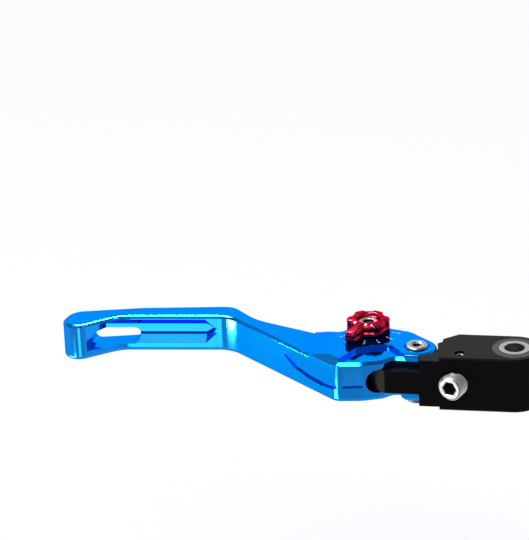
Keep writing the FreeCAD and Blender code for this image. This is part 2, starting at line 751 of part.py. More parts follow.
def make_blade():
    base = outline_body("blade_base", "0 - blade_drop", "blade_rise + blade_drop")
    dress(base, "Fillet", "finger_top_edge", "upper_edge_radius", at_height(RISE))
    dress(base, "Fillet", "finger_bottom_edge", "lower_edge_radius", at_height(-DROP))
    deck = outline_body("blade_deck", "0 - face_gap", "blade_rise + deck_rise + face_gap")
    dress(deck, "Fillet", "deck_edge", "upper_edge_radius", at_height(DECK))
    side_cut(deck, "deck_ramp", [
        (TIP - 20, -5, 0), (RAMP_FOOT, -5, 0), (RAMP_FOOT, RISE, 0),
        (RAMP_TOP, DECK, 0), (RAMP_TOP, DECK + 10, 0), (TIP - 20, DECK + 10, 0)])
    ledge = new_sketch(deck, "ledge_outline", height="blade_rise + deck_rise - ledge_depth")
    draw_outline(ledge, from_pivot([
        (-31.5, -18.5, 0), (-23.2, -3.4, 1.0), (-17.4, -0.5, 3.0), (-10.7, 1.0, 2.0),
        (-6.2, -4.2, 3.0), (-2.6, -9.0, 0), (-2.6, -18.5, 0)]))
    pocket(deck, "ledge", ledge, "deck_rise * 3", upward=True)
    ledge_level = DECK - size("ledge_depth")
    dress(deck, "Chamfer", "ledge_edge", "ledge_chamfer",
          lambda edge: at_height(ledge_level)(edge) and edge.BoundBox.YMax < PIVOT.y - 8.4
          and edge.BoundBox.XMax < PIVOT.x - 11)
    ear = outline_body("blade_ear", "0 - blade_drop - ear_drop", "blade_drop + ear_drop")
    dress(ear, "Fillet", "ear_edge", "lower_edge_radius", at_height(-EAR_BOTTOM))
    side_cut(ear, "ear_step", [
        (TIP - 20, 5, 0), (EAR_STEP - 2.2, 5, 0), (EAR_STEP - 2.2, -DROP, 0),
        (EAR_STEP, -EAR_BOTTOM, 0), (EAR_STEP, -EAR_BOTTOM - 10, 0), (TIP - 20, -EAR_BOTTOM - 10, 0)])
    low = "0 - blade_drop * 2"
    through = "blade_drop * 4"
    ball = polar(SELECTOR, size("detent_circle_radius"), DETENT_ANGLE)
    detent = cylinder("detent_pocket", "detent_ball_radius + face_gap", "detent_pocket_depth + deck_rise")
    aligned(detent, Vector(ball.x, ball.y, DECK - size("detent_pocket_depth")), Rotation())
    tools = [
        groove_tool(),
        panel_tool(),
        facet_tool(),
        slot_window(),
        tongue_slot(),
        selector_hole("cam_bore", CAM_BORE, "blade_drop * 2 + " + SLOT_TOP, low),
        selector_hole("upper_bush_bore", "journal_radius + running_gap + upper_bush_wall", through, low),
        selector_hole("circlip_groove", CAM_BORE + " + circlip_groove_depth",
                      "circlip_thickness + face_gap * 2", CIRCLIP_BASE + " - face_gap"),
        pivot_hole("pin_hole", "blade_pin_radius + running_gap", through, low),
        pivot_hole("screw_seat", "screw_seat_radius", "screw_seat_depth * 4", HEAD_SEAT),
        detent,
    ]
    blade = doc.addObject("Part::Cut", "lever_blade")
    blade.Base = fused("blade_stock", [base, deck, ear])
    blade.Tool = fused("blade_tools", tools)
    blade.Label = "lever_blade"
    return blade


nodes.append(make_blade())

# ---------------------------------------------------------------- blade pivot hardware

nodes.append(turned(
    "blade_pivot_screw",
    [
        ("screw_head_radius", "screw_head_height", HEAD_SEAT),
        ("blade_pin_radius", HEAD_SEAT + " + blade_drop + ear_drop + pin_in_nut", NUT_TOP + " - pin_in_nut"),
    ],
    [hex_prism("screw_socket", "screw_socket_radius", "screw_head_height", HEAD_SEAT + " + 0.5")],
    PIVOT_X, PIVOT_Y,
))
nodes.append(turned(
    "blade_pivot_nut",
    [("pivot_nut_radius", "pivot_nut_height", NUT_TOP + " - pivot_nut_height - 0.02")],
    [
        ("blade_pin_radius", "pin_in_nut", NUT_TOP + " - pin_in_nut"),
        hex_prism("nut_socket", "screw_socket_radius", "pivot_nut_height",
                  NUT_TOP + " - pivot_nut_height * 2 + 0.2"),
    ],
    PIVOT_X, PIVOT_Y,
))
nodes.append(turned(
    "tongue_bush",
    [("blade_pin_radius + running_gap + tongue_bush_wall", "tongue_height - 2 * washer_recess",
      "washer_recess - tongue_height / 2")],
    [("blade_pin_radius + running_gap", "tongue_height", "0 - tongue_height / 2")],
    PIVOT_X, PIVOT_Y,
))


def make_washers():
    """A thrust washer on each side of the tongue, between it and the blade's ears."""
    rings = []
    thick = "washer_recess + slot_side_gap - face_gap"
    for side, base in (("top", "tongue_height / 2 - washer_recess"),
                       ("bottom", "0 - tongue_height / 2 - slot_side_gap + face_gap")):
        ring = doc.addObject("Part::Cut", "washer_" + side)
        ring.Base = pivot_hole("washer_" + side + "_disc", "washer_radius", thick, base)
        ring.Tool = pivot_hole("washer_" + side + "_bore", "blade_pin_radius + running_gap",
                               "tongue_height / 2", base + " - 1")
        rings.append(ring)
    pair = doc.addObject("Part::Compound", "thrust_washers")
    pair.Links = rings
    pair.Label = "thrust_washers"
    return pair


nodes.append(make_washers())

# ---------------------------------------------------------------- selector


def make_selector_shaft():
    """Journals above and below the eccentric, with a hexagon on top that drives into the knob."""
    cam = cylinder("eccentric", "cam_radius", "tongue_height")
    throw = polar(Vector(), size("cam_offset"), CAM_REST_ANGLE)
    aligned(cam, Vector(throw.x, throw.y, -HALF_TONGUE), Rotation())
    return turned(
        "selector_shaft",
        [
            ("journal_radius", UNDER_KNOB + " - face_gap - tongue_height / 2", "tongue_height / 2"),
            hex_prism("drive_hexagon", "knob_drive_radius - face_gap", "knob_floor + face_gap * 2",
                      UNDER_KNOB + " - face_gap * 2"),
            cam,
            ("lower_journal_radius", "lower_bush_height + slot_side_gap", LOWER_BUSH_BASE),
        ],
        [("selector_screw_radius", "selector_screw_length * 2",
          HEAD_BASE + " - selector_screw_length - 0.3")],
        SELECTOR_X, SELECTOR_Y,
    )


def make_knob():
    """A star knob: a hub with five short lobes and one long pointer, dished for its screw."""
    body = new_body("selector_knob")
    hub = new_sketch(body, "knob_circle", height=UNDER_KNOB)
    draw_circle(hub, SELECTOR.x, SELECTOR.y, "knob_radius")
    pad(body, "knob_hub", hub, "knob_thickness")
    lobes = new_sketch(body, "knob_lobes", height=UNDER_KNOB)
    reach = size("knob_lobe_reach") - size("knob_lobe_radius")
    for k in range(5):
        centre = polar(SELECTOR, reach, POINTER_ANGLE + 60 * (k + 1))
        draw_circle(lobes, centre.x, centre.y, "knob_lobe_radius")
    pad(body, "lobes", lobes, "knob_thickness")
    pointer = new_sketch(body, "pointer_outline", height=UNDER_KNOB)
    half = size("pointer_width") / 2
    waist = size("knob_radius")
    reach = size("pointer_reach")
    shape = [(3.0, -half - 1.4, 0), (waist, -half - 0.5, 2.0), (reach, -half, 0.6),
             (reach, half, 0.6), (waist, half + 0.5, 2.0), (3.0, half + 1.4, 0)]
    turn = math.radians(POINTER_ANGLE)
    draw_outline(pointer, [(SELECTOR.x + u * math.cos(turn) - v * math.sin(turn),
                            SELECTOR.y + u * math.sin(turn) + v * math.cos(turn), r) for u, v, r in shape])
    pad(body, "pointer", pointer, "knob_thickness")
    top = DECK + size("knob_gap") + size("knob_thickness")
    dress(body, "Chamfer", "knob_edge", "knob_edge_chamfer", at_height(top))
    dish = new_sketch(body, "dish_circle", height=UNDER_KNOB + " + knob_floor")
    draw_circle(dish, SELECTOR.x, SELECTOR.y, "knob_hole_radius")
    pocket(body, "dish", dish, "knob_thickness * 2", upward=True)
    drive = new_sketch(body, "drive_hexagon_hole", height=UNDER_KNOB)
    radius = size("knob_drive_radius")
    points = [polar(SELECTOR, radius, 60 * k) for k in range(6)]
    draw_outline(drive, [(p.x, p.y, 0) for p in points])
    pocket(body, "drive_hole", drive, "knob_thickness * 2", upward=True)
    track = new_sketch(body, "detent_track", height=UNDER_KNOB)
    draw_circle(track, SELECTOR.x, SELECTOR.y, "detent_circle_radius + detent_ball_radius")
    draw_circle(track, SELECTOR.x, SELECTOR.y, "detent_circle_radius - detent_ball_radius")
    pocket(body, "detent_groove", track, "detent_stand_out - knob_gap + face_gap * 2", upward=True)
    dimples = new_sketch(body, "detent_dimples", height=UNDER_KNOB)
    for k in range(-1, STEPS - 1):
        spot = polar(SELECTOR, size("detent_circle_radius"), DETENT_ANGLE - STEP_ANGLE * k)
        draw_circle(dimples, spot.x, spot.y, "detent_ball_radius * 0.7")
    pocket(body, "dimples", dimples, "detent_stand_out - knob_gap + face_gap * 8", upward=True)
    return body


def ring_node(label, radius, wire, x, y, z):
    """An O-ring or a round wire ring."""
    ring = doc.addObject("Part::Torus", label)
    bind(ring, "Radius1", radius)
    bind(ring, "Radius2", wire)
    ring.Label = label
    return stand(ring, x, y, z)


def make_circlip():
    """An internal circlip: a flat ring with a gap, sprung into the groove under the lower bush."""
    ring = cylinder("circlip_disc", CAM_BORE + " + circlip_groove_depth - face_gap",
                    "circlip_thickness", z=CIRCLIP_BASE)
    hole = cylinder("circlip_hole", CAM_BORE + " - 1.0", "blade_drop * 4", z="0 - blade_drop * 3")
    gap = doc.addObject("Part::Box", "circlip_gap")
    bind(gap, "Length", "cam_radius * 4")
    bind(gap, "Width", "circlip_opening")
    bind(gap, "Height", "blade_drop * 4")
    bind(gap, "Placement.Base.x", "0 - cam_radius * 4")
    bind(gap, "Placement.Base.y", "0 - circlip_opening / 2")
    bind(gap, "Placement.Base.z", "0 - blade_drop * 3")
    return turned("selector_circlip", [ring], [hole, gap], SELECTOR_X, SELECTOR_Y)


nodes.append(make_selector_shaft())
nodes.append(make_knob())
nodes.append(turned(
    "selector_screw",
    [
        ("knob_hole_radius - 0.3", "selector_head_height", HEAD_BASE),
        ("selector_screw_radius - face_gap", "selector_screw_length + 0.1",
         HEAD_BASE + " - selector_screw_length"),
    ],
    [hex_prism("selector_socket", "selector_socket_radius", "selector_head_height",
               HEAD_BASE + " + selector_head_height * 0.45")],
    SELECTOR_X, SELECTOR_Y,
))
nodes.append(ring_node("selector_oring", "journal_radius + upper_bush_wall / 2 + running_gap", "oring_wire",
                       SELECTOR_X, SELECTOR_Y, "blade_rise + deck_rise - oring_depth"))
nodes.append(turned(
    "selector_upper_bush",
    [("journal_radius + running_gap + upper_bush_wall", BUSH_LENGTH, SLOT_TOP)],
    [("journal_radius + running_gap", "blade_rise * 2", SLOT_TOP + " - 2")],
    SELECTOR_X, SELECTOR_Y,
))
nodes.append(turned(
    "selector_lower_bush",
    [(CAM_BORE, "lower_bush_height", LOWER_BUSH_BASE)],
    [("lower_journal_radius + running_gap", "lower_bush_height * 3",
      LOWER_BUSH_BASE + " - lower_bush_height")],
    SELECTOR_X, SELECTOR_Y,
))
nodes.append(make_circlip())

BALL_SPOT = polar(SELECTOR, size("detent_circle_radius"), DETENT_ANGLE)
BALL_RADIUS = size("detent_ball_radius")
BALL_HEIGHT = DECK + size("detent_stand_out") - BALL_RADIUS
ball = doc.addObject("Part::Sphere", "detent_ball")
bind(ball, "Radius", "detent_ball_radius")
aligned(ball, Vector(BALL_SPOT.x, BALL_SPOT.y, BALL_HEIGHT), Rotation())
nodes.append(ball)

DETENT_WIRE = size("detent_spring_wire")
DETENT_FLOOR = DECK - size("detent_pocket_depth")
detent_length = BALL_HEIGHT - BALL_RADIUS - DETENT_FLOOR - 2 * DETENT_WIRE - size("face_gap") * 2
detent_foot = Vector(BALL_SPOT.x, BALL_SPOT.y, DETENT_FLOOR + DETENT_WIRE + size("face_gap"))
nodes.append(coil("detent_spring", size("detent_spring_radius"), DETENT_WIRE, detent_length, 4,
                  Placement(detent_foot, Rotation())))

# ---------------------------------------------------------------- reach spring in the tongue

wire = size("reach_spring_wire")
spring_foot = SPRING_MOUTH + Vector(wire - size("reach_spring_stand_out"), 0, 0)
nodes.append(coil("reach_spring", size("reach_spring_radius"), wire, size("reach_spring_length"), 9,
                  Placement(spring_foot, ALONG_TONGUE)))

# ---------------------------------------------------------------- push-rod adjuster


def make_adjuster_screw():
    """A hex-socket set screw whose own Z runs inwards from the block's front face."""
    body = new_body("adjuster_screw")
    radius = size("adjuster_radius")
    depth = size("adjuster_thread_depth")
    pitch = size("adjuster_thread_pitch")
    outer = -size("adjuster_stick_out")
    inner = size("adjuster_length") - size("adjuster_stick_out")
    profile = [(0, outer), (radius - 0.9, outer), (radius, outer + 0.9)]
    crest = outer + 0.9 + 0.15 * pitch
    while crest + pitch < inner - 1.0:
        profile += [(radius, crest), (radius - depth, crest + 0.4 * pitch),
                    (radius - depth, crest + 0.5 * pitch), (radius, crest + 0.9 * pitch)]
        crest += pitch
    profile += [(radius, inner - 0.8), (radius - 1.6, inner), (0, inner)]
    sketch = new_sketch(body, "thread_profile", "XZ_Plane")
    draw_outline(sketch, [(x, z, 0) for x, z in profile])
    screw = body.newObject("PartDesign::Revolution", "threaded_rod")
    screw.Profile = sketch
    screw.ReferenceAxis = (sketch, ["V_Axis"])
    screw.Angle = 360
    body.Tip = screw
    socket = new_sketch(body, "socket_hexagon", height="0 - adjuster_stick_out")
    corner_radius = size("adjuster_socket_radius")
    corners = [polar(Vector(), corner_radius, 60 * k) for k in range(6)]
    draw_outline(socket, [(p.x, p.y, 0) for p in corners])
    pocket(body, "socket", socket, "adjuster_socket_depth", upward=True)
    return aligned(body, ADJUSTER_BASE, ADJUSTER_TURN)


nodes.append(make_adjuster_screw())
push_pad = turned(
    "push_pad",
    [
        ("adjuster_radius", "push_pad_length - 4", "adjuster_length - adjuster_stick_out + face_gap"),
        ("push_pad_face_radius", "push_pad_length", "adjuster_length - adjuster_stick_out + face_gap"),
    ],
)
nodes.append(aligned(push_pad, ADJUSTER_BASE, ADJUSTER_TURN))
lock_screw = turned(
    "adjuster_lock_screw",
    [("lock_screw_radius", "lock_screw_length", "adjuster_radius + face_gap * 3")],
    [hex_prism("lock_socket", "lock_socket_radius", "lock_screw_length",
               "adjuster_radius + face_gap * 3 + lock_screw_length - 2")],
)
nodes.append(aligned(lock_screw, LOCK_FOOT, Rotation()))

# ---------------------------------------------------------------- check and export


def check_and_export():
    doc.recompute()
    for thing in doc.Objects:
        state = " ".join(thing.State)
        if "Invalid" in state or "Error" in state:
            sys.exit(f"{thing.Label} failed: {state}")
    for node in nodes:
        shape = node.Shape
        if shape.isNull() or not shape.isValid() or not shape.Solids:
            sys.exit(f"{node.Label} has no valid solid")
    for node in nodes:
        node.Shape.exportStep(f"parts/{node.Label}.step")
        print(f"{node.Label}: {len(node.Shape.Solids)} solid(s), {node.Shape.Volume:.1f} mm3")


check_and_export()
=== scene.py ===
import json
import math
import bmesh
import bpy
from mathutils import Matrix, Vector

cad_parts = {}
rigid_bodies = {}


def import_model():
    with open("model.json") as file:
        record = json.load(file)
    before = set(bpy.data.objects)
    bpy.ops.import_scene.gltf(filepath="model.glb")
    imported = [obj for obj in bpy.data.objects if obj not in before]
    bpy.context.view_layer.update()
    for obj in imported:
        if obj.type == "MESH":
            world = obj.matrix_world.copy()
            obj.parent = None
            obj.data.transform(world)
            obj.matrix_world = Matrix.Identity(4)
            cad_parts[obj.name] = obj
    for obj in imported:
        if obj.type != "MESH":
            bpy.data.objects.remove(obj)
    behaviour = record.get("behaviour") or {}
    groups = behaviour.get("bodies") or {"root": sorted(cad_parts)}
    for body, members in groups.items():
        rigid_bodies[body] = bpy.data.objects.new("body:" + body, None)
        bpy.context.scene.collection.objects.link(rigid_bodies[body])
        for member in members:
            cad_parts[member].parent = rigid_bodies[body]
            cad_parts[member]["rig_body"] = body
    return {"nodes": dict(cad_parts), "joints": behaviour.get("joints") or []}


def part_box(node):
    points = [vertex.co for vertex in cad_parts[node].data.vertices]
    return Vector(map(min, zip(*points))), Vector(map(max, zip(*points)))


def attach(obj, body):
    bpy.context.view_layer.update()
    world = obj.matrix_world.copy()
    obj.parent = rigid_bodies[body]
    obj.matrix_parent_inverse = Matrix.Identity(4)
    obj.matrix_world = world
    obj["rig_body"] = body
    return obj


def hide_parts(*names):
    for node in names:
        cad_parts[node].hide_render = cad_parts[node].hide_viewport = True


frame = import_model()
bpy.context.view_layer.update()

# Looks of an adjustable hand lever: finishes, softened edges, thread, knob and dial marks.
# Metres throughout, except where a length is said to be in mm. +Z runs up the main pivot,
# the fingertip points to -X, and the grip lies to +Y.

MM = 0.001
FULL_TURN = 2 * math.pi
NODES = frame["nodes"]
JOINTS = {joint["name"]: joint for joint in frame["joints"]}
SELECTOR = Vector(JOINTS["selector_turn"]["pos_m"])
BLADE_PIVOT = Vector(JOINTS["blade_reach"]["pos_m"])
ADJUSTER_BASE = Vector(JOINTS["adjuster_turn"]["pos_m"])
ADJUSTER_AXIS = Vector(JOINTS["adjuster_turn"]["axis"])
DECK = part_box("lever_blade")[1].z


def middle(node):
    """The middle of a node's box."""
    low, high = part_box(node)
    return (low + high) / 2


def span(node):
    """A node's lowest and highest level, in mm."""
    low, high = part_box(node)
    return low.z / MM, high.z / MM


def along_adjuster():
    """The set screw's outer and inner end, measured inwards from the block's front face."""
    corners = NODES["adjuster_screw"].data.vertices
    reach = [(corner.co - ADJUSTER_BASE).dot(ADJUSTER_AXIS) for corner in corners]
    return min(reach), max(reach)


ADJUSTER_FACE, ADJUSTER_FOOT = along_adjuster()

# ---------------------------------------------------------------- shader maths

OBJECT_COORDINATES = 3
WORLD_DIRECTION = 0
CAMERA_RAY, GLOSSY_RAY, TRANSMISSION_RAY = 0, 3, 6
MIX_SHARE, MIX_FIRST, MIX_SECOND = 0, 6, 7


class Socket:
    """A shader value that is added, subtracted, multiplied and raised like a number."""

    def __init__(self, tree, link):
        self.tree = tree
        self.link = link

    def math(self, operation, other=0.0):
        return self.tree.node("ShaderNodeMath", {"operation": operation}, {0: self, 1: other})[0]

    def __add__(self, other):
        return self.math("ADD", other)

    def __mul__(self, other):
        return self.math("MULTIPLY", other)

    def __sub__(self, other):
        return self.math("SUBTRACT", other)

    def __rsub__(self, other):
        return self * -1.0 + other

    def __pow__(self, other):
        return self.math("POWER", other)

    def above(self, edge, width):
        """0 below an edge, 1 above it, with a soft step between."""
        settings = {"interpolation_type": "SMOOTHSTEP", "data_type": "FLOAT"}
        values = {"Value": self, "From Min": edge - width, "From Max": edge + width}
        return self.tree.node("ShaderNodeMapRange", settings, values)[0]

    def swing(self, amount):
        """Noise about 0.5 turned into noise about 0, of this whole height."""
        return (self - 0.5) * amount

    __radd__ = __add__
    __rmul__ = __mul__


class Tree:
    """A node tree in which each node is made by one call."""

    def __init__(self, owner):
        owner.use_nodes = True
        self.nodes = owner.node_tree.nodes
        self.links = owner.node_tree.links
        self.nodes.clear()

    def node(self, kind, settings=None, values=None):
        """A new node: settings first, then its sockets by name or number. Gives its outputs."""
        made = self.nodes.new(kind)
        for name, value in (settings or {}).items():
            setattr(made, name, value)
        for name, value in (values or {}).items():
            if isinstance(value, Socket):
                self.links.new(value.link, made.inputs[name])
            else:
                made.inputs[name].default_value = value
        return [Socket(self, output) for output in made.outputs if output.enabled]

    def place(self, stretch=(1, 1, 1), centre=(0, 0, 0), turn=(0, 0, 0)):
        """Object coordinates about a centre, turned and stretched."""
        whole = self.node("ShaderNodeTexCoord")[OBJECT_COORDINATES]
        settings = {"operation": "SUBTRACT"}
        moved = self.node("ShaderNodeVectorMath", settings, {0: whole, 1: centre})[0]
        values = {"Vector": moved, "Scale": stretch, "Rotation": turn}
        return self.node("ShaderNodeMapping", None, values)[0]

    def noise(self, scale, detail, stretch=(1, 1, 1)):
        """Noise about 0.5, with a scale in cycles a metre."""
        values = {"Vector": self.place(stretch=stretch), "Scale": scale, "Detail": detail}
        return self.node("ShaderNodeTexNoise", None, values)[0]

    def mix(self, share, first, second):
        """The first colour where share is 0, and the second where it is 1."""
        values = {MIX_SHARE: share, MIX_FIRST: first, MIX_SECOND: second}
        return self.node("ShaderNodeMix", {"data_type": "RGBA"}, values)[0]

    def bump(self, height, strength, depth):
        """A normal that leans with a height, for a relief of this depth in mm."""
        values = {"Height": height, "Strength": strength, "Distance": depth * MM}
        return self.node("ShaderNodeBump", None, values)[0]

    def separate(self, vector):
        return self.node("ShaderNodeSeparateXYZ", None, {0: vector})


def finish_material(name, tree_of, **constants):
    """A principled material; tree_of(tree) gives the sockets that vary over the surface."""
    material = bpy.data.materials.new(name)
    tree = Tree(material)
    values = {key.replace("_", " "): value for key, value in constants.items()}
    values.update(tree_of(tree))
    shader = tree.node("ShaderNodeBsdfPrincipled", None, values)[0]
    tree.node("ShaderNodeOutputMaterial", None, {"Surface": shader})
    return material


def rgb(red, green, blue):
    return (red, green, blue, 1)


# ---------------------------------------------------------------- finishes


def anodised(name, colour, deep, edge, roughness):
    """Dyed anodising over bright-dipped aluminium: a coloured mirror, cloudy and finely grained.

    The edge colour is what it mirrors at a grazing angle.
    """

    def varying(tree):
        cloud = tree.noise(scale=60, detail=3.0)
        grain = tree.noise(scale=2600, detail=2.0, stretch=(0.25, 1, 1))
        shade = cloud.swing(0.5) + grain.swing(0.25) + 0.5
        return {
            "Base Color": tree.mix(shade, deep, colour),
            "Roughness": grain.swing(0.08) + cloud.swing(0.06) + roughness,
            "Normal": tree.bump(grain, strength=0.03, depth=0.02),
        }

    return finish_material(name, varying, Metallic=1.0, Specular_Tint=edge)


def make_black():
    """Satin black anodising: fine grain, and a faint lay of the milling cutter."""

    def varying(tree):
        cloud = tree.noise(scale=90, detail=3.0)
        grain = tree.noise(scale=3800, detail=2.0)
        lay = tree.noise(scale=900, detail=2.0, stretch=(0.08, 1, 1))
        shade = cloud * 0.6 + grain * 0.4
        return {
            "Base Color": tree.mix(shade, rgb(0.0015, 0.0015, 0.002), rgb(0.005, 0.005, 0.006)),
            "Roughness": grain * 0.14 + lay * 0.12 + 0.20,
            "Normal": tree.bump(grain + lay * 0.5, strength=0.12, depth=0.02),
        }

    return finish_material("black_anodising", varying, Metallic=0.0, Specular_IOR_Level=0.06)


RING_PITCH = 0.16
LIGHT_PATCH = 1.12
# Painted shade: the near-black colour painted inside the hex key sockets, standing in for the
# shade in the recess.
SOCKET_SHADE_COLOUR = rgb(0.02, 0.02, 0.02)


def turned_steel(name, centre, colour, roughness, socket=None):
    """Turned steel: fine rings about an axis along Z through a centre, and painted shade darkening
    the key socket.

    The socket is given by its outer radius and the level of its mouth, in mm.
    """

    def varying(tree):
        x, y, z = tree.separate(tree.place(centre=(centre[0], centre[1], 0)))
        radius = (x * x + y * y) ** 0.5
        rings = (radius * (FULL_TURN / (RING_PITCH * MM))).math("SINE")
        grain = tree.noise(scale=1500, detail=3.0)
        spots = tree.noise(scale=240, detail=2.0)
        light = rgb(*(min(1.0, channel * LIGHT_PATCH) for channel in colour[:3]))
        plain = tree.mix(spots, colour, light)
        if socket:
            wide, mouth = socket
            within = 1.0 - radius.above(wide * MM, 0.05 * MM)
            below = 1.0 - z.above((mouth - 0.35) * MM, 0.2 * MM)
            # Painted shade: the socket is painted near black from just below its mouth down, in
            # place of the shade that falls inside it.
            plain = tree.mix(within * below * 0.9, plain, SOCKET_SHADE_COLOUR)
        return {
            "Base Color": plain,
            "Roughness": grain.swing(0.16) + spots.swing(0.1) + rings * 0.02 + roughness,
            "Normal": tree.bump(rings * 0.5 + grain * 0.6, strength=0.15, depth=0.01),
        }

    return finish_material(name, varying, Metallic=1.0)


THREAD_ROOT_EDGE = 4.72
THREAD_INNER_EDGE = 4.25
KEY_HOLE_EDGE = 3.0


def make_zinc():
    """Bright zinc on the set screw and its pad, with painted shade darkening the thread roots and
    the socket.
    """
    lean = math.atan2(ADJUSTER_AXIS.x, ADJUSTER_AXIS.y)

    def varying(tree):
        place = tree.place(centre=ADJUSTER_BASE, turn=(0, 0, lean))
        across, along, up = tree.separate(place)
        radius = (across * across + up * up) ** 0.5
        root = 1.0 - radius.above(THREAD_ROOT_EDGE * MM, 0.16 * MM)
        ring = radius.above(THREAD_INNER_EDGE * MM, 0.05 * MM)
        deep = along.above(ADJUSTER_FACE + 0.55 * MM, 0.25 * MM)
        hollow = (1.0 - radius.above(KEY_HOLE_EDGE * MM, 0.05 * MM)) * deep
        grain = tree.noise(scale=1500, detail=3.0)
        cloud = tree.noise(scale=220, detail=2.0)
        bright = tree.mix(cloud, rgb(0.80, 0.80, 0.82), rgb(0.95, 0.95, 0.96))
        # Painted shade: the thread roots between the crests are painted dark, in place of the
        # shade that falls there.
        root_shaded = tree.mix(root * ring * 0.85, bright, rgb(0.10, 0.10, 0.11))
        return {
            # Painted shade: the hex socket past its mouth is painted near black, in place of the
            # shade inside it.
            "Base Color": tree.mix(hollow * 0.93, root_shaded, rgb(0.03, 0.03, 0.03)),
            "Roughness": grain.swing(0.16) + root * ring * 0.2 + hollow * 0.2 + 0.24,
            "Normal": tree.bump(grain, strength=0.15, depth=0.01),
        }

    return finish_material("bright_zinc", varying, Metallic=0.85)


def make_bronze():
    """Sintered bronze, with dark oily pores."""

    def varying(tree):
        pores = tree.noise(scale=5200, detail=2.0).above(edge=0.62, width=0.05)
        cloud = tree.noise(scale=300, detail=3.0)
        bronze = tree.mix(cloud, rgb(0.40, 0.24, 0.10), rgb(0.58, 0.38, 0.18))
        return {
            "Base Color": tree.mix(pores, bronze, rgb(0.12, 0.07, 0.03)),
            "Roughness": pores * 0.3 + cloud * 0.2 + 0.25,
            "Normal": tree.bump(pores * -1.0, strength=0.3, depth=0.02),
        }

    return finish_material("sintered_bronze", varying, Metallic=1.0)


def make_rubber():
    """Matte black rubber, a little dusty."""

    def varying(tree):
        grain = tree.noise(scale=3000, detail=3.0)
        dust = tree.noise(scale=200, detail=3.0)
        return {
            "Base Color": tree.mix(dust, rgb(0.010, 0.010, 0.010), rgb(0.030, 0.029, 0.028)),
            "Roughness": grain * 0.2 + 0.45,
            "Normal": tree.bump(grain, strength=0.3, depth=0.03),
        }

    return finish_material("black_rubber", varying, Specular_IOR_Level=0.35)


def make_bearing_plastic():
    """Off-white bearing plastic."""

    def varying(tree):
        cloud = tree.noise(scale=400, detail=3.0)
        grain = tree.noise(scale=4000, detail=2.0)
        return {
            "Base Color": tree.mix(cloud, rgb(0.62, 0.60, 0.54), rgb(0.78, 0.76, 0.70)),
            "Roughness": grain * 0.2 + 0.4,
            "Normal": tree.bump(grain, strength=0.2, depth=0.02),
        }

    return finish_material("bearing_plastic", varying)


def make_white_paint():
    """The white fill of the dial marks."""

    def varying(tree):
        grain = tree.noise(scale=6000, detail=2.0)
        return {
            "Base Color": tree.mix(grain, rgb(0.72, 0.75, 0.78), rgb(0.92, 0.93, 0.94)),
            "Roughness": grain * 0.2 + 0.35,
            "Normal": tree.bump(grain, strength=0.2, depth=0.01),
        }

    return finish_material("white_marking_paint", varying)


BLUE = anodised("blue_anodising", colour=rgb(0.016, 0.350, 1.0), deep=rgb(0.010, 0.285, 0.95),
                edge=rgb(0.0, 0.45, 1.0), roughness=0.085)
RED = anodised("red_anodising", colour=rgb(0.62, 0.034, 0.070), deep=rgb(0.40, 0.012, 0.035),
               edge=rgb(1.0, 0.3, 0.35), roughness=0.17)
BLACK = make_black()
BRONZE = make_bronze()
RUBBER = make_rubber()
PLASTIC = make_bearing_plastic()
WHITE_PAINT = make_white_paint()

STAINLESS = rgb(0.33, 0.33, 0.34)
PIVOT_SOCKET = (2.0, span("blade_pivot_screw")[1])
SELECTOR_SOCKET = (2.6, span("selector_screw")[1])
PIVOT_STEEL = turned_steel("turned_stainless", BLADE_PIVOT, STAINLESS, roughness=0.26,
                           socket=PIVOT_SOCKET)
SELECTOR_STEEL = turned_steel("turned_stainless_selector", SELECTOR, STAINLESS, roughness=0.26,
                              socket=SELECTOR_SOCKET)
SLEEVE_STEEL = turned_steel("turned_sleeve", (0, 0, 0), rgb(0.36, 0.36, 0.37), roughness=0.3)
NUT_STEEL = turned_steel("phosphated_steel", BLADE_PIVOT, rgb(0.16, 0.16, 0.17), roughness=0.38)
SPRING_STEEL = turned_steel("spring_steel", SELECTOR, rgb(0.34, 0.34, 0.35), roughness=0.3)
BRIGHT_ZINC = make_zinc()

FINISHES = {
    "lever_blade": BLUE,
    "adapter": BLACK,
    "selector_knob": RED,
    "blade_pivot_screw": PIVOT_STEEL,
    "blade_pivot_nut": NUT_STEEL,
    "selector_shaft": SELECTOR_STEEL,
    "selector_screw": SELECTOR_STEEL,
    "selector_circlip": NUT_STEEL,
    "detent_ball": SELECTOR_STEEL,
    "detent_spring": SPRING_STEEL,
    "reach_spring": SPRING_STEEL,
    "pivot_sleeve": SLEEVE_STEEL,
    "pivot_bush": BRONZE,
    "tongue_bush": BRONZE,
    "selector_upper_bush": BRONZE,
    "selector_lower_bush": BRONZE,
    "pivot_seals": RUBBER,
    "selector_oring": RUBBER,
    "thrust_washers": PLASTIC,
    "adjuster_screw": BRIGHT_ZINC,
    "push_pad": BRIGHT_ZINC,
    "adjuster_lock_screw": NUT_STEEL,
}


def dress_nodes():
    """Gives every CAD node its finish."""
    for name, material in FINISHES.items():
        for material_slot in NODES[name].material_slots:
            material_slot.material = material


dress_nodes()

# ---------------------------------------------------------------- ring-built pieces


def shape_ring(ring, height, radius):
    """Puts a ring of vertices at a height and a radius, in mm; either may depend on the angle."""
    for vertex in ring:
        angle = math.atan2(vertex.co.y, vertex.co.x)
        reach = radius(angle) if callable(radius) else radius
        level = height(angle) if callable(height) else height
        vertex.co = Vector((reach * math.cos(angle), reach * math.sin(angle), level)) * MM


def grow_rings(form, edges, levels):
    """Extrudes a loop of edges through levels of (height, radius), in mm, and closes the last."""
    for height, radius in levels:
        grown = bmesh.ops.extrude_edge_only(form, edges=edges)["geom"]
        ring = {item for item in grown if isinstance(item, bmesh.types.BMVert)}
        shape_ring(ring, height, radius)
        edges = [item for item in grown
                 if isinstance(item, bmesh.types.BMEdge) and set(item.verts) <= ring]
    bmesh.ops.contextual_create(form, geom=edges)


